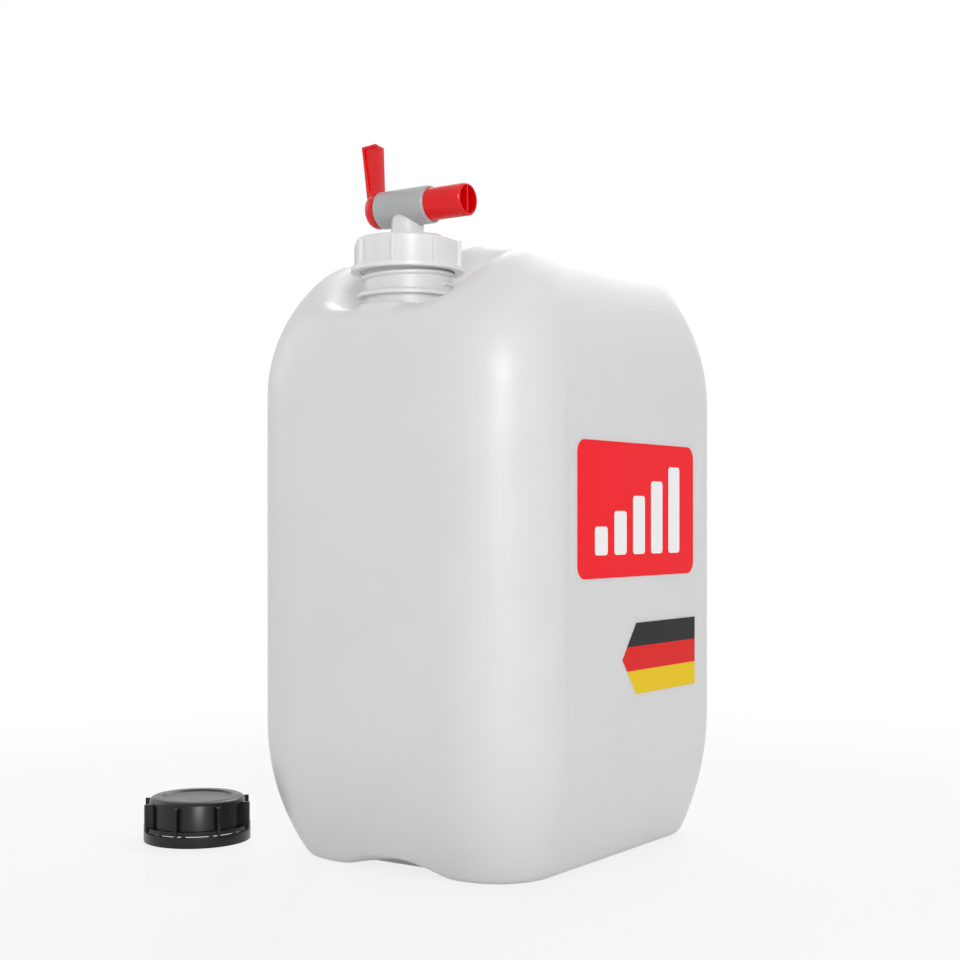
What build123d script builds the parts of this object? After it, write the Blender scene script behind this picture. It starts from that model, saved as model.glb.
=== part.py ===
from build123d import *
from math import cos, radians, sin, sqrt
import os

# Ten-litre canister with a spigot screwed on its neck, and its transport cap taken off.
# Millimetres. Z up. The origin is at the centre of the canister's base; the neck side faces -Y.

# Canister: one blow-moulded shell
body_width = 188.0
body_length = 234.0
body_top = 329.0
body_wall = 1.8
corner_radius = 46.0
foot_height = 75.0
shoulder_drop = 76.0
base_edge_radius = 8.0
top_edge_radius = 16.0

# How far each wall draws in, from the straight wall to the base and to the top
foot_inset_side = 17.0
foot_inset_front = 24.0
foot_inset_back = 13.0
foot_corner_radius = 34.0
top_inset_side = 26.0
top_inset_front = 42.0
top_inset_back = 26.0
top_corner_radius = 34.0
taper_steps = 4

# Dished well that runs back from the front lip, with the neck in it
well_depth = 38.0
well_half_width = 36.0
well_opening = 40.0
well_setback = 43.0
well_taper = 20.0
well_corner_radius = 24.0
well_floor_radius = 14.0
well_rim_radius = 13.0

# Carrying handle, hollow, blown with the shell
handle_width = 30.0
handle_depth = 22.0
handle_edge_radius = 9.0
handle_root_radius = 6.0
handle_front_gap = 48.0
handle_setback = 29.0
handle_rise = 16.0
handle_front_lean = 11.0
handle_front_drop = 5.5
handle_crest_share = 22 / 61
handle_crest_end = 28.6
handle_crest_fall = 1.0
handle_tail = 44.0
handle_bend_front = 18.0
handle_bend_back = 26.0

# Label panels sunk in both sides
panel_height = 178.0
panel_length = 142.0
panel_depth = 1.2
panel_corner_radius = 8.0
panel_bevel = 45.0

# Finger grip under the front of the base
grip_width = 94.0
grip_height = 14.0
grip_depth = 18.0
grip_end_width = 56.0
grip_end_height = 3.0

# Neck with its coarse screw thread
neck_setback = 35.0
neck_height = 39.0
neck_bore_radius = 20.6
neck_root_radius = 23.2
neck_foot_radius = 27.5
neck_foot_height = 6.0
thread_height = 1.55
thread_root_width = 3.6
thread_crest_width = 1.2
thread_pitch = 5.5
thread_turns = 2.6
thread_drop = 20.5
neck_bead_drop = 27.0
neck_bead_height = 3.2
neck_bead_proud = 3.6
rim_edge_radius = 0.7

# Fits
touching = 0.05
thread_clearance = 0.3
seat_clearance = 0.05
running_clearance = 0.05
drop_clearance = 0.3

# Seal between the neck's rim and the spigot cap
seal_thickness = 1.5

# Spigot cap, with its stem and vent nipple
cap_wall = 2.4
cap_plate = 2.6
cap_height = 17.5
cap_fins = 8
fin_thickness = 2.2
fin_reach = 2.4
fin_drop = 1.4
cap_flange_reach = 2.8
cap_flange_height = 2.2
cap_ring_radius = 14.5
cap_ring_width = 1.2
cap_ring_height = 0.7
stem_radius = 8.8
stem_height = 7.5
flow_bore_radius = 4.25
flow_bore_x = 2.2
vent_bore_radius = 1.5
vent_bore_x = -6.2
nipple_radius = 2.9
nipple_length = 5.0

# Vent tube
tube_radius = 2.0
tube_bore_radius = 1.3
tube_seat = 4.0
tube_straight = 12.0
tube_sway = 1.2
tube_swing = 5.0
tube_drop = 51.0
tube_bend = 30.0

# Tap barrel
barrel_radius = 10.0
barrel_length = 33.0
barrel_chamfer = 0.6
collar_radius = 5.6
collar_depth = 4.0

# Tap plug: lever, hub, plug and spout in one
plug_radius = 8.75
spout_radius = 8.5
spout_step = 0.5
spout_length = 23.0
spout_chamfer = 0.5
outlet_radius = 7.2
web_thickness = 0.9
web_length = 18.0
web_setback = 0.4
hub_radius = 9.6
hub_length = 6.5
hub_round = 3.0
snap_x = 12.5
snap_proud = 0.5
snap_width = 1.6
lever_reach = 36.0
lever_root_width = 8.0
lever_tip_width = 11.5
lever_thickness = 4.8
lever_lean = 4.8
lever_recess = 1.0
lever_rim = 1.5
lever_tip_round = 2.5

# Transport cap, standing on the floor beside the canister
cover_apart = 56.0
cover_forward = 6.0
cover_height = 25.0
cover_plate = 2.4
cover_wall = 2.3
cover_fin_radius = 32.0
cover_fin_top = 22.4
cover_fin_thickness = 1.8
cover_fins = 8
cover_flange_height = 2.4
band_height = 6.0
band_gap = 0.8
band_wall = 2.2
band_clearance = 1.6
bridges = 12
bridge_width = 2.4
cover_top_round = 2.2
cover_dish_radius = 19.5
cover_dish_depth = 0.8
liner_thickness = 1.2
liner_gap = 0.6

# Labels on the right-hand panel
film = 0.3
capacity_front_margin = 10.0
capacity_back_margin = 5.0
capacity_rise = 27.0
capacity_height = 72.0
capacity_corner = 7.0
stripe_back_margin = 3.0
stripe_length = 68.0
stripe_tip = 15.0
stripe_fall = 53.5
stripe_height = 38.5

os.makedirs("parts", exist_ok=True)

# Heights and places worked out from the sizes above
shoulder_height = body_top - shoulder_drop
well_floor = body_top - well_depth
well_back = body_length / 2 - well_setback
handle_crest = body_top + handle_rise
handle_back_y = body_length / 2 - handle_setback
neck_y = neck_setback - body_length / 2
neck_rim = well_floor + neck_height
handle_front_y = neck_y + handle_front_gap
neck_bead_z = neck_rim - neck_bead_drop
thread_start = neck_rim - thread_drop
cover_x = -body_width / 2 - cover_apart
cover_y = neck_y - cover_forward
thread_radius = neck_root_radius + thread_height
cap_inner_radius = thread_radius + thread_clearance
seal_top = neck_rim + seal_thickness
cap_top = seal_top + cap_plate
cap_bottom = cap_top - cap_height
barrel_z = cap_top + stem_height + barrel_radius
barrel_bore_radius = plug_radius + running_clearance
panel_z = (foot_height + shoulder_height) / 2
panel_x = body_width / 2 - panel_depth
capacity_front = capacity_front_margin - panel_length / 2
capacity_back = panel_length / 2 - capacity_back_margin
capacity_z = panel_z + capacity_rise
stripe_back = panel_length / 2 - stripe_back_margin
stripe_front = stripe_back - stripe_length
stripe_z = panel_z - stripe_fall


def bulge(inset, height):
    """Radius of the arc, upright at its start, that draws in by inset over height."""
    return (inset * inset + height * height) / (2 * inset)


def drawn_in(inset, height, rise):
    """How far that arc has drawn in after rise."""
    radius = bulge(inset, height)
    return radius - sqrt(radius * radius - rise * rise)


def plan(z, rise, height, insets, end_corner, skin):
    """Rounded plan of the body at z, drawn in by its arcs and by the skin."""
    side, front, back = (drawn_in(inset, height, rise) for inset in insets)
    half = body_width / 2 - side - skin
    y_front = -body_length / 2 + front + skin
    y_back = body_length / 2 - back - skin
    radius = corner_radius + (end_corner - corner_radius) * (rise / height) ** 2 - skin
    with BuildSketch(Plane.XY.offset(z)) as outline:
        with Locations((0, (y_front + y_back) / 2)):
            RectangleRounded(2 * half, y_back - y_front, radius)
    return outline.sketch


def shell_form(skin):
    """Body without its well, inside by the skin."""
    foot_insets = (foot_inset_side, foot_inset_front, foot_inset_back)
    top_insets = (top_inset_side, top_inset_front, top_inset_back)
    top_rise = body_top - shoulder_height
    steps = [step / taper_steps for step in range(taper_steps + 1)]
    with BuildPart() as form:
        foot = []
        for share in steps:
            z = skin + (foot_height - skin) * share
            foot.append(plan(z, foot_height - z, foot_height, foot_insets, foot_corner_radius, skin))
        loft(foot)
        extrude(foot[-1], amount=shoulder_height - foot_height)
        shoulder = []
        for share in steps:
            z = shoulder_height + (top_rise - skin) * share
            shoulder.append(plan(z, z - shoulder_height, top_rise, top_insets, top_corner_radius, skin))
        loft(shoulder)
        fillet(form.faces().sort_by(Axis.Z)[-1].edges(), top_edge_radius - skin)
        fillet(form.faces().sort_by(Axis.Z)[0].edges(), base_edge_radius - skin)
    return form


def well_form(skin):
    """What the well takes away, wider by the skin."""
    half = well_half_width + skin
    y_open = -body_length / 2 - well_opening
    y_back = well_back + skin
    with BuildPart() as form:
        with BuildSketch(Plane.XY.offset(well_floor - skin)) as floor:
            with Locations((0, (y_open + y_back) / 2)):
                Rectangle(2 * half, y_back - y_open)
            fillet(floor.vertices().group_by(Axis.Y)[-1], well_corner_radius)
        extrude(amount=body_top - well_floor + top_edge_radius, taper=-well_taper)
        floor_edges = form.faces().sort_by(Axis.Z)[0].edges()
        fillet(floor_edges.filter_by(lambda edge: edge.center().Y > y_open + touching), well_floor_radius + skin)
    return form


def handle_form(skin):
    """Arched handle, inside by the skin."""
    crest = handle_crest - handle_depth / 2
    crest_y = handle_front_y + handle_crest_share * (handle_back_y - handle_front_y)
    with BuildPart() as form:
        with BuildLine() as arch:
            FilletPolyline(
                (0, handle_front_y, well_floor - handle_depth),
                (0, handle_front_y + handle_front_lean, crest - handle_front_drop),
                (0, crest_y, crest),
                (0, handle_back_y - handle_crest_end, crest - handle_crest_fall),
                (0, handle_back_y, crest - handle_tail),
                radius=[handle_bend_front, handle_bend_back, handle_bend_back],
            )
        route = arch.wires()[0]
        with BuildSketch(Plane(origin=route @ 0, x_dir=(1, 0, 0), z_dir=route % 0)):
            RectangleRounded(handle_width - 2 * skin, handle_depth - 2 * skin, handle_edge_radius - skin)
        sweep(path=route)
    return form


def shared_edges(solid, first, second):
    """Edges of the solid where the skins of the first and the second form meet."""
    skins = (first.part.shell(), second.part.shell())
    return solid.edges().filter_by(lambda edge: all(skin.distance_to(edge @ 0.5) < touching for skin in skins))


def panel_form(skin):
    """What the two label panels take away, wider by the skin."""
    with BuildPart() as form:
        with BuildSketch(Plane.YZ.offset(panel_x - skin)):
            with Locations((0, panel_z)):
                RectangleRounded(panel_length + 2 * skin, panel_height + 2 * skin, panel_corner_radius + skin)
        extrude(amount=2 * panel_depth + skin, taper=-panel_bevel)
        mirror(about=Plane.YZ)
    return form


def grip_arch(share, skin):
    """Arch of the finger grip, from full size in front of the base (0) to its inner end (1)."""
    run = foot_inset_front + grip_depth + skin
    half = grip_width / 2 - share * (grip_width / 2 - grip_end_width / 2)
    rise = grip_height - share * (grip_height - grip_end_height)
    radius = bulge(rise, half)
    foot = sqrt((radius + skin) ** 2 - (radius - rise) ** 2)
    with BuildSketch(Plane.XZ.offset(body_length / 2 - share * run)) as arch:
        with BuildLine():
            ThreePointArc((-foot, 0), (0, rise + skin), (foot, 0))
            Line((foot, 0), (-foot, 0))
        make_face()
    return arch.sketch


def blown_form(skin):
    """Whole blown shape without its neck, inside by the skin."""
    shell = shell_form(skin)
    well = well_form(skin)
    handle = handle_form(skin)
    panels = panel_form(skin)
    with BuildPart() as dished:
        add(shell.part)
        add(well.part, mode=Mode.SUBTRACT)
        fillet(shared_edges(dished, shell, well), well_rim_radius - skin)
    with BuildPart() as form:
        add(dished.part)
        add(handle.part)
        root = shared_edges(form, dished, handle)
        fillet(root.filter_by(lambda edge: edge.center().Y < 0), handle_root_radius + skin)
        add(panels.part, mode=Mode.SUBTRACT)
        loft([grip_arch(0, skin), grip_arch(1, skin)], mode=Mode.SUBTRACT)
    return form


def revolve_about(axis, plane, points):
    """Solid of revolution of a closed outline given by its corner points."""
    with BuildPart() as turned:
        with BuildSketch(plane):
            with BuildLine():
                Polyline(*points, close=True)
            make_face()
        revolve(axis=axis)
    return turned.part


# Planes and axes of the neck, the tap and the cap on the floor
neck_axis = Axis((0, neck_y, 0), (0, 0, 1))
neck_plane = Plane(origin=(0, neck_y, 0), x_dir=(1, 0, 0), z_dir=(0, -1, 0))
tap_axis = Axis((0, neck_y, barrel_z), (1, 0, 0))
tap_plane = Plane(origin=(0, neck_y, barrel_z), x_dir=(1, 0, 0), z_dir=(0, -1, 0))
cover_axis = Axis((cover_x, cover_y, 0), (0, 0, 1))
cover_plane = Plane(origin=(cover_x, cover_y, 0), x_dir=(1, 0, 0), z_dir=(0, -1, 0))

# Canister: outer form less inner form, with its neck, thread, bead and bore
outer = blown_form(0)
inner = blown_form(body_wall)
with BuildPart() as canister:
    add(outer.part)
    add(
        revolve_about(
            neck_axis,
            neck_plane,
            [
                (0, well_floor - body_wall),
                (neck_foot_radius, well_floor - body_wall),
                (neck_foot_radius, well_floor),
                (neck_root_radius, well_floor + neck_foot_height),
                (neck_root_radius, neck_bead_z),
                (neck_root_radius + neck_bead_proud, neck_bead_z),
                (neck_root_radius + neck_bead_proud, neck_bead_z + neck_bead_height / 2),
                (neck_root_radius, neck_bead_z + neck_bead_height),
                (neck_root_radius, neck_rim),
                (0, neck_rim),
            ],
        )
    )
    with BuildLine() as thread_path:
        Helix(
            pitch=thread_pitch,
            height=thread_turns * thread_pitch,
            radius=neck_root_radius,
            center=(0, neck_y, thread_start),
        )
    thread_route = thread_path.wires()[0]
    with BuildSketch(Plane(origin=thread_route @ 0, x_dir=(1, 0, 0), z_dir=thread_route % 0)):
        with BuildLine():
            Polyline(
                (-thread_height / 4, -thread_root_width / 2),
                (thread_height, -thread_crest_width / 2),
                (thread_height, thread_crest_width / 2),
                (-thread_height / 4, thread_root_width / 2),
                close=True,
            )
        make_face()
    sweep(path=thread_route, is_frenet=True)
    add(inner.part, mode=Mode.SUBTRACT)
    with BuildSketch(Plane.XY.offset(well_floor - well_floor_radius)):
        with Locations((0, neck_y)):
            Circle(neck_bore_radius)
    extrude(amount=neck_rim - well_floor + 2 * well_floor_radius, mode=Mode.SUBTRACT)
    rim_edges = canister.faces().filter_by(Plane.XY).sort_by(Axis.Z)[-1].edges()
    fillet(rim_edges, rim_edge_radius)
canister.part.label = "canister"
export_step(canister.part, "parts/canister.step")
print("canister", canister.part.is_valid, len(canister.solids()), canister.part.volume)

# Seal: flat ring on the neck's rim
with BuildPart() as spigot_seal:
    with BuildSketch(Plane.XY.offset(neck_rim)):
        with Locations((0, neck_y)):
            Circle(thread_radius)
            Circle(neck_bore_radius, mode=Mode.SUBTRACT)
    extrude(amount=seal_thickness)
spigot_seal.part.label = "spigot_seal"
export_step(spigot_seal.part, "parts/spigot_seal.step")

# Spigot cap: ribbed screw cap with the stem on top and the vent nipple below
cap_outer_radius = cap_inner_radius + cap_wall
with BuildPart() as spigot_cap:
    add(
        revolve_about(
            neck_axis,
            neck_plane,
            [
                (0, seal_top),
                (cap_inner_radius, seal_top),
                (cap_inner_radius, cap_bottom),
                (cap_outer_radius + cap_flange_reach, cap_bottom),
                (cap_outer_radius + cap_flange_reach, cap_bottom + cap_flange_height),
                (cap_outer_radius, cap_bottom + cap_flange_height),
                (cap_outer_radius, cap_top - cap_plate / 2),
                (cap_outer_radius - cap_plate / 2, cap_top),
                (0, cap_top),
            ],
        )
    )
    fin_middle = cap_outer_radius + (fin_reach - cap_wall) / 2
    with BuildSketch(Plane.XY.offset(cap_bottom)):
        with Locations((0, neck_y)):
            with PolarLocations(fin_middle, cap_fins, start_angle=180 / cap_fins):
                Rectangle(fin_reach + cap_wall - cap_plate / 2, fin_thickness)
    extrude(amount=cap_height - fin_drop)
    with BuildSketch(Plane.XY.offset(cap_top)):
        with Locations((0, neck_y)):
            Circle(cap_ring_radius)
            Circle(cap_ring_radius - cap_ring_width, mode=Mode.SUBTRACT)
    extrude(amount=cap_ring_height)
    with BuildSketch(Plane.XY.offset(cap_top)):
        with Locations((0, neck_y)):
            Circle(stem_radius)
    extrude(amount=stem_height + barrel_radius)
    with BuildSketch(Plane.XY.offset(seal_top)):
        with Locations((vent_bore_x, neck_y)):
            Circle(nipple_radius)
    extrude(amount=-nipple_length)
    with BuildSketch(Plane.YZ.offset(-2 * barrel_radius)):
        with Locations((neck_y, barrel_z)):
            Circle(barrel_radius + seat_clearance)
    extrude(amount=4 * barrel_radius, mode=Mode.SUBTRACT)
    with BuildSketch(Plane.XY.offset(cap_bottom)):
        with Locations((flow_bore_x, neck_y)):
            Circle(flow_bore_radius)
        with Locations((vent_bore_x, neck_y)):
            Circle(vent_bore_radius)
    extrude(amount=barrel_z - cap_bottom, mode=Mode.SUBTRACT)
    with BuildSketch(Plane.XY.offset(barrel_z - barrel_radius - collar_depth - seat_clearance)):
        with Locations((flow_bore_x, neck_y)):
            Circle(collar_radius + seat_clearance)
    extrude(amount=barrel_radius, mode=Mode.SUBTRACT)
    with BuildSketch(Plane.XY.offset(seal_top - nipple_length)):
        with Locations((vent_bore_x, neck_y)):
            Circle(tube_radius + seat_clearance)
    extrude(amount=tube_seat, mode=Mode.SUBTRACT)
spigot_cap.part.label = "spigot_cap"
export_step(spigot_cap.part, "parts/spigot_cap.step")
print("spigot_cap", spigot_cap.part.is_valid, len(spigot_cap.solids()))

# Vent tube: pushed into the nipple, bending a little away from the outlet side
tube_top = seal_top - nipple_length + tube_seat
with BuildPart() as vent_tube:
    with BuildLine() as tube_line:
        FilletPolyline(
            (vent_bore_x, neck_y, tube_top),
            (vent_bore_x, neck_y, tube_top - tube_straight),
            (vent_bore_x + tube_sway, neck_y, tube_top - 2 * tube_straight),
            (vent_bore_x - tube_swing, neck_y, tube_top - tube_drop),
            radius=tube_bend,
        )
    tube_route = tube_line.wires()[0]
    with BuildSketch(Plane(origin=tube_route @ 0, z_dir=tube_route % 0)):
        Circle(tube_radius)
        Circle(tube_bore_radius, mode=Mode.SUBTRACT)
    sweep(path=tube_route)
vent_tube.part.label = "vent_tube"
export_step(vent_tube.part, "parts/vent_tube.step")
print("vent_tube", vent_tube.part.is_valid, vent_tube.part.volume)

# Tap barrel: cross tube bonded on the stem's saddle, its collar in the flow bore
barrel_end = barrel_length / 2
groove_radius = plug_radius + snap_proud + running_clearance
groove_half = snap_width / 2 + running_clearance
with BuildPart() as tap_barrel:
    add(
        revolve_about(
            tap_axis,
            tap_plane,
            [
                (-barrel_end, barrel_bore_radius),
                (snap_x - groove_half, barrel_bore_radius),
                (snap_x - groove_half, groove_radius),
                (snap_x + groove_half, groove_radius),
                (snap_x + groove_half, barrel_bore_radius),
                (barrel_end, barrel_bore_radius),
                (barrel_end, barrel_radius - barrel_chamfer),
                (barrel_end - barrel_chamfer, barrel_radius),
                (barrel_chamfer - barrel_end, barrel_radius),
                (-barrel_end, barrel_radius - barrel_chamfer),
            ],
        )
    )
    with BuildSketch(Plane.XY.offset(barrel_z - barrel_radius - collar_depth)):
        with Locations((flow_bore_x, neck_y)):
            Circle(collar_radius)
    extrude(amount=collar_depth + barrel_radius - barrel_bore_radius)
    with BuildSketch(Plane.XY.offset(barrel_z - barrel_radius - collar_depth)):
        with Locations((flow_bore_x, neck_y)):
            Circle(flow_bore_radius)
        with Locations((vent_bore_x, neck_y)):
            Circle(vent_bore_radius)
    extrude(amount=collar_depth + barrel_radius, mode=Mode.SUBTRACT)
    with BuildSketch(Plane.YZ.offset(-barrel_end)):
        with Locations((neck_y, barrel_z)):
            Circle(barrel_bore_radius)
    extrude(amount=barrel_length / 2 + snap_x - groove_half, mode=Mode.SUBTRACT)
tap_barrel.part.label = "tap_barrel"
export_step(tap_barrel.part, "parts/tap_barrel.step")
print("tap_barrel", tap_barrel.part.is_valid, len(tap_barrel.solids()))

# Tap plug: hub and lever at one end, spout at the other, shut at rest with its port to the front
spout_end = barrel_end + spout_length
hub_face = -barrel_end - drop_clearance
outlet_start = flow_bore_x - flow_bore_radius
lever_turn = radians(lever_lean)
lever_plane = Plane(
    origin=(hub_face - lever_root_width / 2, neck_y, barrel_z),
    x_dir=(cos(lever_turn), 0, sin(lever_turn)),
    z_dir=(0, -1, 0),
)
with BuildPart() as tap_plug:
    add(
        revolve_about(
            tap_axis,
            tap_plane,
            [
                (hub_face - hub_length, 0),
                (hub_face - hub_length, hub_radius - hub_round),
                (hub_face - hub_length + hub_round / 3, hub_radius - hub_round / 3),
                (hub_face - hub_length + hub_round, hub_radius),
                (hub_face, hub_radius),
                (hub_face, plug_radius),
                (snap_x - snap_width / 2, plug_radius),
                (snap_x - snap_width / 4, plug_radius + snap_proud),
                (snap_x + snap_width / 4, plug_radius + snap_proud),
                (snap_x + snap_width / 2, plug_radius),
                (barrel_end, plug_radius),
                (barrel_end + spout_step, spout_radius),
                (spout_end - spout_chamfer, spout_radius),
                (spout_end, spout_radius - spout_chamfer),
                (spout_end, 0),
            ],
        )
    )
    with BuildSketch(lever_plane) as lever_outline:
        with BuildLine():
            Polyline(
                (-lever_root_width / 2, 0),
                (lever_root_width / 2, 0),
                (lever_tip_width / 2, lever_reach),
                (-lever_tip_width / 2, lever_reach),
                close=True,
            )
        make_face()
        fillet(lever_outline.vertices().sort_by(Axis.Z)[-2:], lever_tip_round)
    extrude(amount=lever_thickness / 2, both=True)
    with BuildSketch(lever_plane.offset(lever_thickness / 2)) as lever_hollow:
        with BuildLine():
            Polyline(
                (-lever_root_width / 2 + lever_rim, hub_radius + lever_rim),
                (lever_root_width / 2 - lever_rim, hub_radius + lever_rim),
                (lever_tip_width / 2 - lever_rim, lever_reach - lever_rim),
                (lever_rim - lever_tip_width / 2, lever_reach - lever_rim),
                close=True,
            )
        make_face()
        fillet(lever_hollow.vertices(), lever_rim / 2)
    extrude(amount=-lever_recess, mode=Mode.SUBTRACT)
    with BuildSketch(Plane.YZ.offset(outlet_start)):
        with Locations((neck_y, barrel_z)):
            Circle(outlet_radius)
    extrude(amount=spout_end - outlet_start, mode=Mode.SUBTRACT)
    with BuildSketch(Plane.YZ.offset(spout_end - web_setback - web_length)):
        with Locations((neck_y, barrel_z)):
            Rectangle(web_thickness, 2 * outlet_radius + web_thickness)
    extrude(amount=web_length)
    with BuildSketch(Plane.XZ.offset(-neck_y)):
        with Locations((flow_bore_x, barrel_z)):
            Circle(flow_bore_radius)
        with Locations((vent_bore_x, barrel_z)):
            Circle(vent_bore_radius)
    extrude(amount=2 * plug_radius, mode=Mode.SUBTRACT)
    with BuildSketch(Plane.YZ.offset(vent_bore_x)):
        with Locations((neck_y, barrel_z)):
            Circle(vent_bore_radius)
    extrude(amount=outlet_start - vent_bore_x, mode=Mode.SUBTRACT)
tap_plug.part.label = "tap_plug"
export_step(tap_plug.part, "parts/tap_plug.step")
print("tap_plug", tap_plug.part.is_valid, len(tap_plug.solids()))

# Transport cap: screw cap with fins, joined to its tamper band by thin bridges
cover_inner_radius = thread_radius + thread_clearance
cover_outer_radius = cover_inner_radius + cover_wall
band_inner_radius = neck_root_radius + neck_bead_proud + band_clearance
band_outer_radius = band_inner_radius + band_wall
flange_bottom = band_height + band_gap
with BuildPart() as transport_cap:
    add(
        revolve_about(
            cover_axis,
            cover_plane,
            [
                (0, cover_height - cover_plate),
                (cover_inner_radius, cover_height - cover_plate),
                (cover_inner_radius, flange_bottom),
                (band_outer_radius, flange_bottom),
                (band_outer_radius, flange_bottom + cover_flange_height),
                (cover_outer_radius, flange_bottom + cover_flange_height),
                (cover_outer_radius, cover_height - cover_top_round),
                (cover_outer_radius - cover_top_round / 3, cover_height - cover_top_round / 3),
                (cover_outer_radius - cover_top_round, cover_height),
                (cover_dish_radius + cover_dish_depth, cover_height),
                (cover_dish_radius, cover_height - cover_dish_depth),
                (0, cover_height - cover_dish_depth),
            ],
        )
    )
    add(
        revolve_about(
            cover_axis,
            cover_plane,
            [
                (band_inner_radius, 0),
                (band_outer_radius, 0),
                (band_outer_radius, band_height),
                (band_inner_radius, band_height),
            ],
        )
    )
    with BuildSketch(Plane.XY.offset(band_height)):
        with Locations((cover_x, cover_y)):
            with PolarLocations(band_outer_radius - band_wall / 2, bridges):
                Rectangle(band_wall / 2, bridge_width)
    extrude(amount=band_gap)
    fin_start = cover_outer_radius - cover_wall / 2
    with BuildSketch(Plane.XY.offset(flange_bottom)):
        with Locations((cover_x, cover_y)):
            with PolarLocations((fin_start + cover_fin_radius) / 2, cover_fins, start_angle=180 / cover_fins):
                Rectangle(cover_fin_radius - fin_start, cover_fin_thickness)
    extrude(amount=cover_fin_top - flange_bottom)
transport_cap.part.label = "transport_cap"
export_step(transport_cap.part, "parts/transport_cap.step")
print("transport_cap", transport_cap.part.is_valid, len(transport_cap.solids()))

# Liner: sealing disc pressed up inside the transport cap
with BuildPart() as transport_cap_liner:
    with BuildSketch(Plane.XY.offset(cover_height - cover_plate)):
        with Locations((cover_x, cover_y)):
            Circle(cover_inner_radius - liner_gap)
    extrude(amount=-liner_thickness)
transport_cap_liner.part.label = "transport_cap_liner"
export_step(transport_cap_liner.part, "parts/transport_cap_liner.step")

# Capacity label: rounded film in the right-hand panel
with BuildPart() as capacity_label:
    with BuildSketch(Plane.YZ.offset(panel_x)):
        with Locations(((capacity_front + capacity_back) / 2, capacity_z)):
            RectangleRounded(capacity_back - capacity_front, capacity_height, capacity_corner)
    extrude(amount=film)
capacity_label.part.label = "capacity_label"
export_step(capacity_label.part, "parts/capacity_label.step")

# Stripe label: arrow-ended film below it
with BuildPart() as stripe_label:
    with BuildSketch(Plane.YZ.offset(panel_x)):
        with BuildLine():
            Polyline(
                (stripe_front - stripe_tip, stripe_z),
                (stripe_front, stripe_z - stripe_height / 2),
                (stripe_back, stripe_z - stripe_height / 2),
                (stripe_back, stripe_z + stripe_height / 2),
                (stripe_front, stripe_z + stripe_height / 2),
                close=True,
            )
        make_face()
    extrude(amount=film)
stripe_label.part.label = "stripe_label"
export_step(stripe_label.part, "parts/stripe_label.step")
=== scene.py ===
from math import cos, pi, radians, sin

import bmesh
import bpy
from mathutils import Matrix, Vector


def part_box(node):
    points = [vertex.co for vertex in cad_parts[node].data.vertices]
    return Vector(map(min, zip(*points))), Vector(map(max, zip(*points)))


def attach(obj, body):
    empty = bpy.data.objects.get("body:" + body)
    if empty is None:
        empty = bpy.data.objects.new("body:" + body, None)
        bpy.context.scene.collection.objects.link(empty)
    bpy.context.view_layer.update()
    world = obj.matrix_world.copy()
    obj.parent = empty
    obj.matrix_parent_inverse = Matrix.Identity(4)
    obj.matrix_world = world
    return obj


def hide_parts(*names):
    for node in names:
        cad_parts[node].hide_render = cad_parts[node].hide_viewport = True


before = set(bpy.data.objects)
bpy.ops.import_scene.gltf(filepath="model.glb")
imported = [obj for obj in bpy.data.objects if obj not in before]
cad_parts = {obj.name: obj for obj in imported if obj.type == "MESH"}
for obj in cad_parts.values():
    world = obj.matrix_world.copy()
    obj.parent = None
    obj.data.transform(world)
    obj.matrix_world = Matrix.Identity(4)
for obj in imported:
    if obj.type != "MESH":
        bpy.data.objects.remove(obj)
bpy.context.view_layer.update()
mm = 0.001

# The view: a camera a little above mid height, in front and to the right of the neck side,
# with a long lens and upright sides, framed with a small shift.
view_turn = radians(34.5)
view_distance = 900 * mm
view_height = 186 * mm
view_focal = 58.7
view_shift_x = -0.0156
view_shift_y = 0.0406
bpy.ops.object.select_all(action="DESELECT")
bpy.ops.object.camera_add(
    location=(sin(view_turn) * view_distance, -cos(view_turn) * view_distance, view_height),
    rotation=(pi / 2, 0, view_turn),
)
camera = bpy.context.object
camera.data.lens = view_focal
camera.data.sensor_width = 36
camera.data.shift_x = view_shift_x
camera.data.shift_y = view_shift_y
bpy.context.scene.camera = camera
bpy.context.scene.view_settings.view_transform = "Standard"


# The floor: a white glossy sheet that fades into a white surround, with a faint reflection
# of the canister in it and its soft shadow.
def linear(colour):
    """Linear red, green, blue and alpha of an sRGB hex colour."""
    parts = [int(colour[i:i + 2], 16) / 255 for i in (1, 3, 5)]
    return [c / 12.92 if c <= 0.04045 else ((c + 0.055) / 1.055) ** 2.4 for c in parts] + [1.0]


def node(material, kind, links=(), **settings):
    """Adds a node to the material's tree with its settings, and links its inputs by name."""
    new = material.node_tree.nodes.new(kind)
    for name, value in settings.items():
        if name in new.inputs:
            new.inputs[name].default_value = value
        elif name.replace("_", " ") in new.inputs:
            new.inputs[name.replace("_", " ")].default_value = value
        else:
            setattr(new, name, value)
    for name, source in dict(links).items():
        material.node_tree.links.new(source, new.inputs[name])
    return new


def new_material(name):
    """An empty node material, with its output node."""
    material = bpy.data.materials.new(name)
    material.use_nodes = True
    material.node_tree.nodes.clear()
    return material, node(material, "ShaderNodeOutputMaterial")


def join(material, output, source):
    """Puts the source shader on the material's surface."""
    material.node_tree.links.new(source, output.inputs["Surface"])


def plain_rays(owner):
    """1 for camera, glossy and transmission rays, 0 for the rays that only carry light."""
    path = node(owner, "ShaderNodeLightPath")
    direct = node(
        owner, "ShaderNodeMath", operation="MAXIMUM",
        links={0: path.outputs["Is Camera Ray"], 1: path.outputs["Is Glossy Ray"]},
    )
    through = node(
        owner, "ShaderNodeMath", operation="MAXIMUM",
        links={0: direct.outputs[0], 1: path.outputs["Is Transmission Ray"]},
    )
    return through.outputs[0]


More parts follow.
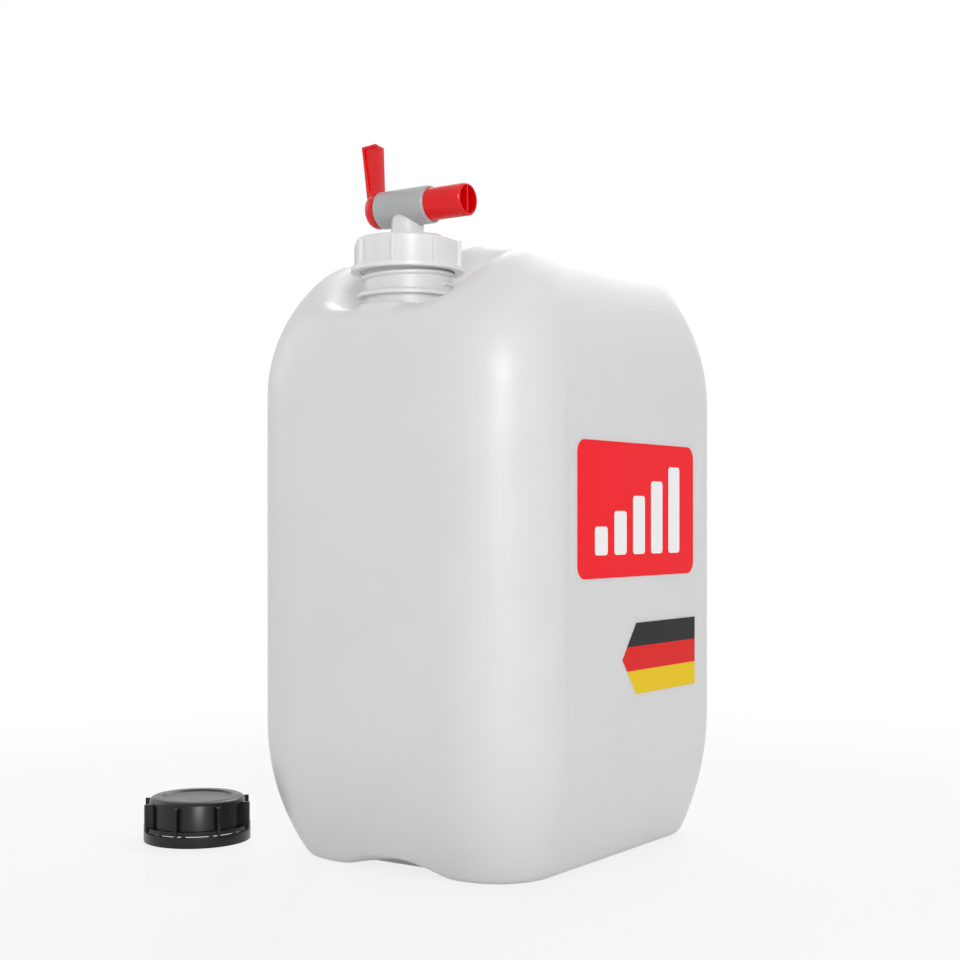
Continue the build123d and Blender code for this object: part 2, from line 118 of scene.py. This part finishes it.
floor_size = 6.0
floor_glow = 0.8
floor_mirror = 0.13
fade_start = 0.25
fade_end = 0.75
bpy.ops.object.select_all(action="DESELECT")
bpy.ops.mesh.primitive_plane_add(size=floor_size)
floor = bpy.context.object
floor.name = "floor"
white_sheet, out = new_material("white_glossy_sheet")
matt = node(white_sheet, "ShaderNodeBsdfDiffuse", Color=linear("#DCDCDC"))
shine = node(white_sheet, "ShaderNodeBsdfGlossy", Color=linear("#FFFFFF"), Roughness=0.08)
sheet = node(white_sheet, "ShaderNodeMixShader", Fac=floor_mirror)
white_sheet.node_tree.links.new(matt.outputs[0], sheet.inputs[1])
white_sheet.node_tree.links.new(shine.outputs[0], sheet.inputs[2])
glow = node(white_sheet, "ShaderNodeEmission", Color=linear("#FFFFFF"), Strength=1.0)
spot = node(white_sheet, "ShaderNodeTexCoord").outputs["Object"]
reach = node(white_sheet, "ShaderNodeVectorMath", operation="LENGTH", links={0: spot})
fade = node(
    white_sheet, "ShaderNodeMapRange", interpolation_type="SMOOTHSTEP",
    links={"Value": reach.outputs["Value"]},
)
fade.inputs["From Min"].default_value = fade_start
fade.inputs["From Max"].default_value = fade_end
fade.inputs["To Min"].default_value = floor_glow
seen = node(
    white_sheet, "ShaderNodeMath", operation="MULTIPLY",
    links={0: plain_rays(white_sheet), 1: fade.outputs["Result"]},
)
lit = node(white_sheet, "ShaderNodeMixShader", links={"Fac": seen.outputs[0]})
white_sheet.node_tree.links.new(sheet.outputs[0], lit.inputs[1])
white_sheet.node_tree.links.new(glow.outputs[0], lit.inputs[2])
join(white_sheet, out, lit.outputs[0])
floor.data.materials.append(white_sheet)

# The light: an even white surround and three soft lamps, one in front on the camera's right,
# a weak one on its left, and one behind and above that shines through the thin plastic.
surround = bpy.data.worlds.new("white_surround")
bpy.context.scene.world = surround
surround.use_nodes = True
surround.node_tree.nodes.clear()
room = node(surround, "ShaderNodeBackground", Color=linear("#FFFFFF"), Strength=0.43)
white = node(surround, "ShaderNodeBackground", Color=linear("#FFFFFF"), Strength=1.0)
either = node(surround, "ShaderNodeMixShader", links={"Fac": plain_rays(surround)})
surround.node_tree.links.new(room.outputs[0], either.inputs[1])
surround.node_tree.links.new(white.outputs[0], either.inputs[2])
world_out = node(surround, "ShaderNodeOutputWorld")
join(surround, world_out, either.outputs[0])


def lamp(name, place, aim, size, power):
    """A square soft lamp at a place, turned to its aim."""
    bpy.ops.object.select_all(action="DESELECT")
    bpy.ops.object.light_add(type="AREA", location=place)
    light = bpy.context.object
    light.name = name
    light.data.size = size
    light.data.energy = power
    light.rotation_euler = (Vector(aim) - Vector(place)).to_track_quat("-Z", "Y").to_euler()


lamp("near_lamp", place=(1.25, -1.3, 0.7), aim=(0, 0, 0.18), size=0.5, power=13.5)
lamp("left_lamp", place=(-1.5, -0.5, 0.8), aim=(0, 0, 0.18), size=0.9, power=3.5)
lamp("back_lamp", place=(-0.3, 1.2, 1.5), aim=(0, 0, 0.25), size=1.2, power=19.0)


# Canister: blow-moulded natural polyethylene, milky and faintly see-through, with a soft satin
# skin from a sand-blasted mould.
def coordinates(material):
    """Object coordinates in the material."""
    return node(material, "ShaderNodeTexCoord").outputs["Object"]


def mottled(material, place, scale, dark, light):
    """A colour that drifts between two tones; sockets 6 and 7 are the colour mix's A and B."""
    drift = node(material, "ShaderNodeTexNoise", Scale=scale, Detail=2.0, links={"Vector": place})
    mix = node(material, "ShaderNodeMix", data_type="RGBA", links={"Factor": drift.outputs["Fac"]})
    mix.inputs[6].default_value = linear(dark)
    mix.inputs[7].default_value = linear(light)
    return mix.outputs[2]


natural_hdpe, out = new_material("natural_hdpe_blown")
place = coordinates(natural_hdpe)
tone = mottled(natural_hdpe, place, 18.0, "#DFE0E0", "#E6E7E7")
wave = node(natural_hdpe, "ShaderNodeTexNoise", Scale=14.0, Detail=1.0, links={"Vector": place})
slack = node(
    natural_hdpe, "ShaderNodeBump", Strength=0.35, Distance=4 * mm, links={"Height": wave.outputs["Fac"]},
)
blast = node(natural_hdpe, "ShaderNodeTexNoise", Scale=900.0, Detail=1.0, links={"Vector": place})
skin = node(
    natural_hdpe, "ShaderNodeBump", Strength=0.05, Distance=0.1 * mm,
    links={"Height": blast.outputs["Fac"], "Normal": slack.outputs[0]},
)
wall = node(
    natural_hdpe, "ShaderNodeBsdfPrincipled", Roughness=0.38, IOR=1.53,
    links={"Base Color": tone, "Normal": skin.outputs[0]},
)
wall.inputs["Subsurface Weight"].default_value = 0.35
wall.inputs["Subsurface Radius"].default_value = (1.0, 1.0, 1.0)
wall.inputs["Subsurface Scale"].default_value = 6 * mm
join(natural_hdpe, out, wall.outputs[0])


merge_within = 0.002


def copy_of(name, new_name):
    """A merged copy of a CAD node's mesh, the only selected object."""
    bpy.ops.object.select_all(action="DESELECT")
    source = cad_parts[name]
    piece = bpy.data.objects.new(new_name, source.data.copy())
    bpy.context.collection.objects.link(piece)
    piece.select_set(True)
    bpy.context.view_layer.objects.active = piece
    bpy.ops.object.mode_set(mode="EDIT")
    bpy.ops.mesh.select_all(action="SELECT")
    bpy.ops.mesh.remove_doubles(threshold=merge_within * mm)
    bpy.ops.object.mode_set(mode="OBJECT")
    bpy.ops.mesh.customdata_custom_splitnormals_clear()
    return piece


def finish_piece(piece, material, slot, body, *replaced):
    """Gives a piece its material and its body, and hides the CAD nodes it replaces; slot is not used."""
    piece.data.materials.clear()
    piece.data.materials.append(material)
    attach(piece, body)
    if replaced:
        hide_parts(*replaced)


def drop_points(piece, unwanted):
    """Deletes the mesh points for which unwanted(x, y, z) holds, in millimetres."""
    shape = bmesh.new()
    shape.from_mesh(piece.data)
    gone = [point for point in shape.verts if unwanted(*(value / mm for value in point.co))]
    bmesh.ops.delete(shape, geom=gone, context="VERTS")
    shape.to_mesh(piece.data)
    shape.free()


def close_hole(piece):
    """Fills the open border of the mesh."""
    shape = bmesh.new()
    shape.from_mesh(piece.data)
    border = [edge for edge in shape.edges if edge.is_boundary]
    bmesh.ops.triangle_fill(shape, use_beauty=True, edges=border)
    shape.to_mesh(piece.data)
    shape.free()


def from_neck(x, y):
    """Distance of a point from the neck's axis, in millimetres."""
    return ((x - neck_x) ** 2 + (y - neck_y) ** 2) ** 0.5


seal_low, seal_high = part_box("spigot_seal")
neck_x = (seal_low[0] + seal_high[0]) / 2 / mm
neck_y = (seal_low[1] + seal_high[1]) / 2 / mm
neck_rim = seal_low[2] / mm
neck_stands = 39.0
neck_reach = 28.5
neck_room = 30.5
neck_cut = 1.2
neck_root = 0.5
neck_crease = 35
well_floor = neck_rim - neck_stands

# The neck keeps the sharp thread of the solid: it is cut from a copy just under the well's
# floor and at a short way round the neck.
neck = copy_of("canister", "neck")
bpy.ops.object.mode_set(mode="EDIT")
bpy.ops.mesh.select_all(action="SELECT")
bpy.ops.mesh.bisect(plane_co=(0, 0, (well_floor - neck_root) * mm), plane_no=(0, 0, 1), clear_inner=True)
bpy.ops.object.mode_set(mode="OBJECT")
drop_points(neck, lambda x, y, z: from_neck(x, y) > neck_reach)
bpy.ops.object.shade_smooth_by_angle(angle=radians(neck_crease))
finish_piece(neck, natural_hdpe, "natural_hdpe", "carboy")

# The body's outer skin is drawn again as one soft surface, with the rounding that blown plastic
# has at every edge, and with the front lip of the well raised a little in front of the neck.
plug_sides = 64
plug_radius = 22.0
plug_height = 8.0
plug_drop = 6.0
voxel = 2.2
smooth_rounds = 5
smooth_strength = 0.6
lip_rise = 6.5
lip_y = -108.0
lip_reach = 27.0
lip_full_half_width = 30.0
lip_end_half_width = 54.0
lip_from = 266.0
lip_full_drop = 4.0
body = copy_of("canister", "canister_body")
bpy.ops.object.mode_set(mode="EDIT")
bpy.ops.mesh.select_all(action="DESELECT")
bpy.ops.mesh.primitive_cylinder_add(
    vertices=plug_sides, radius=plug_radius * mm, depth=plug_height * mm,
    location=(neck_x * mm, neck_y * mm, (neck_rim - plug_drop) * mm),
)
bpy.ops.object.mode_set(mode="OBJECT")
remesh = body.modifiers.new("skin", "REMESH")
remesh.mode = "VOXEL"
remesh.voxel_size = voxel * mm
bpy.ops.object.modifier_apply(modifier=remesh.name)
drop_points(body, lambda x, y, z: z > well_floor + neck_cut and from_neck(x, y) < neck_room)
close_hole(body)
soften = body.modifiers.new("soften", "LAPLACIANSMOOTH")
soften.iterations = smooth_rounds
soften.lambda_factor = smooth_strength
soften.lambda_border = 0.0
bpy.ops.object.modifier_apply(modifier=soften.name)


def step(value, low, high):
    """Smooth step from 0 at low to 1 at high."""
    share = min(max((value - low) / (high - low), 0.0), 1.0)
    return share * share * (3 - 2 * share)


for point in body.data.vertices:
    x, y, z = (value / mm for value in point.co)
    if z > lip_from and y < neck_y:
        near = 1 - step(abs(y - lip_y), 0, lip_reach)
        across = 1 - step(abs(x), lip_full_half_width, lip_end_half_width)
        point.co.z += lip_rise * mm * near * across * step(z, lip_from, well_floor - lip_full_drop)
bpy.ops.object.shade_smooth()
finish_piece(body, natural_hdpe, "natural_hdpe", "carboy", "canister")


flat_within = 0.5
mould_crease = 40
mould_steps = 3


def moulded(name, material, slot, body, width):
    """A CAD node's shape with its facets merged and its sharp edges rounded as a mould rounds them."""
    piece = copy_of(name, name + "_moulded")
    bpy.ops.object.mode_set(mode="EDIT")
    bpy.ops.mesh.select_all(action="SELECT")
    bpy.ops.mesh.dissolve_limited(angle_limit=radians(flat_within))
    bpy.ops.object.mode_set(mode="OBJECT")
    round_off = piece.modifiers.new("round", "BEVEL")
    round_off.width = width * mm
    round_off.segments = mould_steps
    round_off.limit_method = "ANGLE"
    round_off.angle_limit = radians(mould_crease)
    bpy.ops.object.modifier_apply(modifier=round_off.name)
    bpy.ops.object.shade_smooth_by_angle(angle=radians(mould_crease))
    finish_piece(piece, material, slot, body, name)


def dress(name, material):
    """Gives a CAD node its finish."""
    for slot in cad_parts[name].material_slots:
        slot.material = material


# Spigot cap: moulded natural polypropylene, clearer than the canister. The vent tube, the seal
# and the liner, which are hardly seen, share its finish.
natural_pp, out = new_material("natural_pp_moulded")
place = coordinates(natural_pp)
tone = mottled(natural_pp, place, 60.0, "#E6E8E8", "#EDEFEF")
wall = node(
    natural_pp, "ShaderNodeBsdfPrincipled", Roughness=0.3, IOR=1.49, links={"Base Color": tone},
)
wall.inputs["Subsurface Weight"].default_value = 0.4
wall.inputs["Subsurface Radius"].default_value = (1.0, 1.0, 1.0)
wall.inputs["Subsurface Scale"].default_value = 4 * mm
join(natural_pp, out, wall.outputs[0])
moulded("spigot_cap", natural_pp, "natural_pp", "spigot", 0.35)
for name in ("vent_tube", "spigot_seal", "transport_cap_liner"):
    dress(name, natural_pp)

# Tap barrel: grey polypropylene across the top of the stem, with a fine mould grain and
# faint flow tones.
grey_pp, out = new_material("grey_pp_moulded")
place = coordinates(grey_pp)
mould = node(grey_pp, "ShaderNodeTexNoise", Scale=1200.0, Detail=2.0, links={"Vector": place})
grain = node(
    grey_pp, "ShaderNodeBump", Strength=0.1, Distance=0.05 * mm, links={"Height": mould.outputs["Fac"]},
)
tone = mottled(grey_pp, place, 70.0, "#ABADAD", "#B8BABA")
wall = node(
    grey_pp, "ShaderNodeBsdfPrincipled", Roughness=0.35, IOR=1.49,
    links={"Base Color": tone, "Normal": grain.outputs[0]},
)
join(grey_pp, out, wall.outputs[0])
moulded("tap_barrel", grey_pp, "grey_pp", "spigot", 0.2)

# Tap plug: red polyethylene, one moulding with its lever and spout, smoother than the barrel
# and a little see-through.
red_pp, out = new_material("red_pe_moulded")
place = coordinates(red_pp)
tone = mottled(red_pp, place, 80.0, "#DC0008", "#EC0410")
wall = node(
    red_pp, "ShaderNodeBsdfPrincipled", Roughness=0.22, IOR=1.49, links={"Base Color": tone},
)
wall.inputs["Specular IOR Level"].default_value = 0.4
wall.inputs["Subsurface Weight"].default_value = 0.15
wall.inputs["Subsurface Radius"].default_value = (1.0, 0.1, 0.1)
wall.inputs["Subsurface Scale"].default_value = 2 * mm
join(red_pp, out, wall.outputs[0])
moulded("tap_plug", red_pp, "red_pp", "tap", 0.45)

# Transport cap: black high-density polyethylene with a fine mould grain, and with patches
# that are rubbed a little smoother.
black_hdpe, out = new_material("black_hdpe_moulded")
place = coordinates(black_hdpe)
mould = node(black_hdpe, "ShaderNodeTexNoise", Scale=1500.0, Detail=2.0, links={"Vector": place})
grain = node(
    black_hdpe, "ShaderNodeBump", Strength=0.12, Distance=0.05 * mm, links={"Height": mould.outputs["Fac"]},
)
rub = node(black_hdpe, "ShaderNodeTexNoise", Scale=90.0, Detail=3.0, links={"Vector": place})
sheen = node(black_hdpe, "ShaderNodeMapRange", links={"Value": rub.outputs["Fac"]})
sheen.inputs["To Min"].default_value = 0.24
sheen.inputs["To Max"].default_value = 0.36
wall = node(
    black_hdpe, "ShaderNodeBsdfPrincipled", IOR=1.53,
    links={"Normal": grain.outputs[0], "Roughness": sheen.outputs["Result"]},
)
wall.inputs["Base Color"].default_value = linear("#08090A")
wall.inputs["Specular IOR Level"].default_value = 0.35
join(black_hdpe, out, wall.outputs[0])
moulded("transport_cap", black_hdpe, "black_hdpe", "carboy", 0.35)

# Capacity label: film printed in one flat red with a dull sheen, on the canister's right
# panel.
red_film, out = new_material("red_printed_film")
wall = node(red_film, "ShaderNodeBsdfPrincipled", Roughness=0.5, IOR=1.46)
wall.inputs["Base Color"].default_value = linear("#FF0A1E")
wall.inputs["Specular IOR Level"].default_value = 0.25
join(red_film, out, wall.outputs[0])
dress("capacity_label", red_film)

# Level bars: five white bars printed on the red label, each taller than the last towards
# the back, with rounded corners.
white_ink, out = new_material("white_printed_ink")
wall = node(white_ink, "ShaderNodeBsdfPrincipled", Roughness=0.4, IOR=1.46)
wall.inputs["Base Color"].default_value = linear("#FFFFFF")
join(white_ink, out, wall.outputs[0])
label_low, label_high = (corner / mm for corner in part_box("capacity_label"))
bar_count = 5
bar_width = 13.0
bar_step = 20.0
bar_low = 15.0
bar_high = 48.0
bar_rise = 12.0
bar_foot = label_low[2] + bar_rise
bar_corner = 2.0
bar_corner_steps = 4
along = 0.9
ink = 0.06
bpy.ops.object.select_all(action="DESELECT")
bpy.ops.mesh.primitive_cube_add(size=1)
bars = bpy.context.object
bars.name = "level_bars"
shape = bmesh.new()
for count in range(bar_count):
    tall = bar_low + (bar_high - bar_low) * count / (bar_count - 1)
    middle = (label_low[1] + label_high[1]) / 2 + bar_step * (count - (bar_count - 1) / 2)
    made = bmesh.ops.create_cube(shape, size=1)
    for point in made["verts"]:
        point.co.x = (label_high[0] + (ink if point.co.x > 0 else -ink)) * mm
        point.co.y = (middle + point.co.y * bar_width) * mm
        point.co.z = (bar_foot + tall / 2 + point.co.z * tall) * mm
corners = [
    edge for edge in shape.edges
    if abs((edge.verts[0].co - edge.verts[1].co).normalized().x) > along
]
bmesh.ops.bevel(
    shape, geom=corners, offset=bar_corner * mm, segments=bar_corner_steps, profile=0.5, affect="EDGES",
)
shape.to_mesh(bars.data)
shape.free()
finish_piece(bars, white_ink, "red_film", "carboy")

# Stripe label: film with an arrow's end, printed in three level bands, black over red over
# yellow, by the height in the label.
yellow_share = 0.33
red_share = 0.67
striped_film, out = new_material("striped_printed_film")
stripe_low, stripe_high = (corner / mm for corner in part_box("stripe_label"))
place = coordinates(striped_film)
parts = node(striped_film, "ShaderNodeSeparateXYZ", links={"Vector": place})
rise = node(striped_film, "ShaderNodeMapRange", links={"Value": parts.outputs["Z"]})
rise.inputs["From Min"].default_value = stripe_low[2] * mm
rise.inputs["From Max"].default_value = stripe_high[2] * mm
bands = node(striped_film, "ShaderNodeValToRGB", links={"Fac": rise.outputs["Result"]})
bands.color_ramp.interpolation = "CONSTANT"
bands.color_ramp.elements[0].color = linear("#F7D008")
bands.color_ramp.elements[1].color = linear("#101012")
bands.color_ramp.elements[1].position = red_share
bands.color_ramp.elements.new(yellow_share).color = linear("#E81410")
wall = node(
    striped_film, "ShaderNodeBsdfPrincipled", Roughness=0.5, IOR=1.46,
    links={"Base Color": bands.outputs[0]},
)
wall.inputs["Specular IOR Level"].default_value = 0.25
join(striped_film, out, wall.outputs[0])
dress("stripe_label", striped_film)
